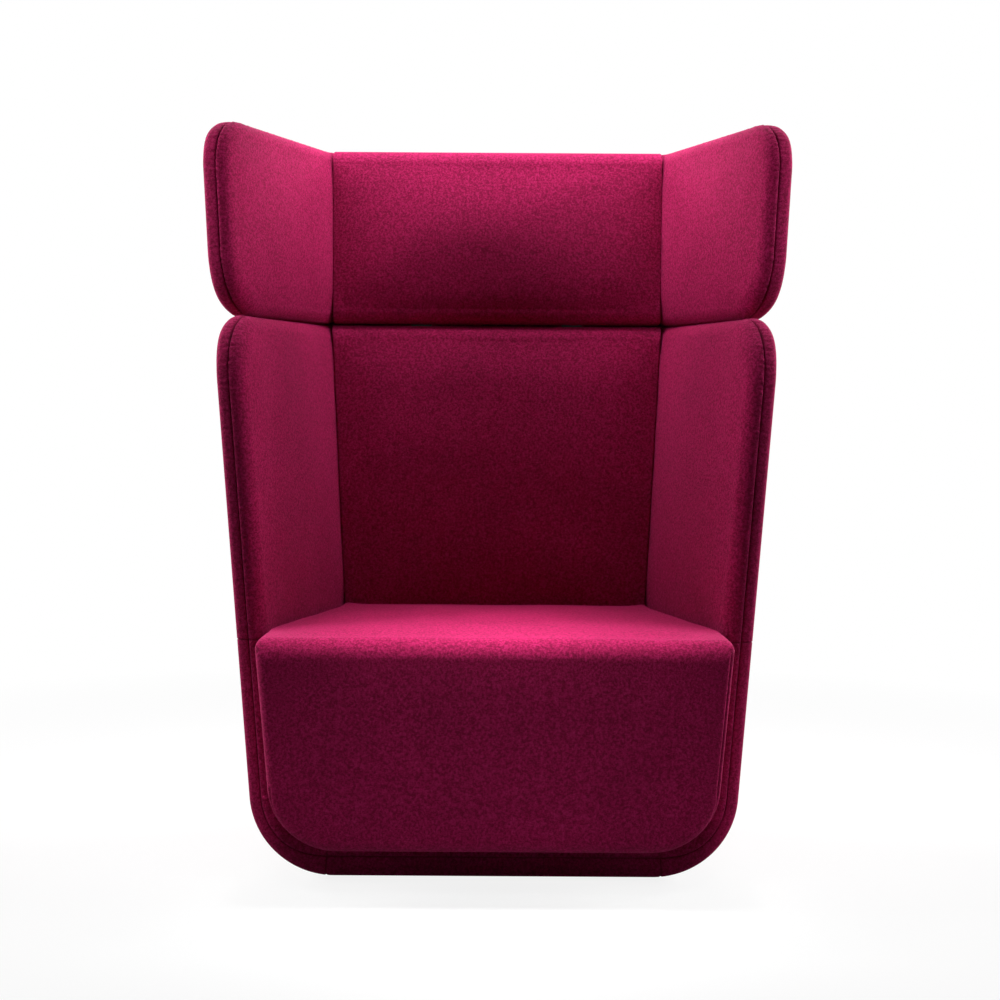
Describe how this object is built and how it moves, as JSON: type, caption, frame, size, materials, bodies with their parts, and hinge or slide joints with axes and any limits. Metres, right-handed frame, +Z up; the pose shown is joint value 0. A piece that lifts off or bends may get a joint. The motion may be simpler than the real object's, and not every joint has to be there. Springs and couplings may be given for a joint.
{
  "type": "high back lounge chair",
  "caption": "Upholstered lounge chair: a flared shell around a deep seat block, with a separate winged head section that screens sound and sight.",
  "frame": {"origin": "middle of the footprint on the floor, level with the underside of the glides", "axes": "+Z up, -Y towards the front where the sitter's feet are, +X to the right of someone who looks at the front"},
  "size_m": [1.0354, 0.8096, 1.302],
  "materials": {
    "wool_felt": "raspberry melange wool felt upholstery",
    "plywood": "raw birch plywood",
    "solid_wood": "planed pine",
    "foam": "cut upholstery foam",
    "absorber_felt": "pressed sound-absorbing felt",
    "webbing": "elastic woven webbing",
    "post_steel": "black powder coat",
    "zinc_steel": "bright zinc plate",
    "glide_plastic": "moulded nylon"
  },
  "bodies": {
    "shell": {"base_board": "plywood", "side_board_left": "plywood", "side_board_right": "plywood", "back_board": "plywood", "cross_rails": "solid_wood", "shell_screws": "zinc_steel", "side_foam_left": "foam", "side_foam_right": "foam", "back_foam": "foam", "back_felt": "absorber_felt", "bottom_cover": "wool_felt", "side_outer_cover_left": "wool_felt", "side_outer_cover_right": "wool_felt", "back_outer_cover": "wool_felt", "side_inner_cover_left": "wool_felt", "side_inner_cover_right": "wool_felt", "back_inner_cover": "wool_felt", "rim_pad_left": "wool_felt", "rim_pad_right": "wool_felt", "rim_pad_front": "wool_felt", "head_board": "plywood", "wing_board_left": "plywood", "wing_board_right": "plywood", "head_screws": "zinc_steel", "head_post_left": "post_steel", "head_post_right": "post_steel", "post_bolts": "zinc_steel", "post_nuts": "zinc_steel", "head_foam": "foam", "wing_foam_left": "foam", "wing_foam_right": "foam", "head_felt": "absorber_felt", "head_outer_cover": "wool_felt", "wing_outer_cover_left": "wool_felt", "wing_outer_cover_right": "wool_felt", "head_inner_cover": "wool_felt", "wing_inner_cover_left": "wool_felt", "wing_inner_cover_right": "wool_felt", "seat_front_rail": "solid_wood", "seat_rear_rail": "solid_wood", "seat_side_rail_left": "solid_wood", "seat_side_rail_right": "solid_wood", "seat_corner_blocks": "solid_wood", "seat_deck": "plywood", "seat_webbing": "webbing", "seat_felt": "absorber_felt", "seat_foam": "foam", "seat_cover": "wool_felt", "seat_bolts": "zinc_steel", "glide_nuts": "zinc_steel"},
    "glide_front_left": {"glide_stud_front_left": "zinc_steel", "glide_pad_front_left": "glide_plastic"},
    "glide_front_right": {"glide_stud_front_right": "zinc_steel", "glide_pad_front_right": "glide_plastic"},
    "glide_rear_left": {"glide_stud_rear_left": "zinc_steel", "glide_pad_rear_left": "glide_plastic"},
    "glide_rear_right": {"glide_stud_rear_right": "zinc_steel", "glide_pad_rear_right": "glide_plastic"}
  },
  "joints": [
    {"name": "glide_front_left_travel", "type": "slide", "parent": "shell", "child": "glide_front_left", "axis": [0, 0, -1], "range_m": [0, 0.012]},
    {"name": "glide_front_right_travel", "type": "slide", "parent": "shell", "child": "glide_front_right", "axis": [0, 0, -1], "range_m": [0, 0.012]},
    {"name": "glide_rear_left_travel", "type": "slide", "parent": "shell", "child": "glide_rear_left", "axis": [0, 0, -1], "range_m": [0, 0.012]},
    {"name": "glide_rear_right_travel", "type": "slide", "parent": "shell", "child": "glide_rear_right", "axis": [0, 0, -1], "range_m": [0, 0.012]}
  ]
}
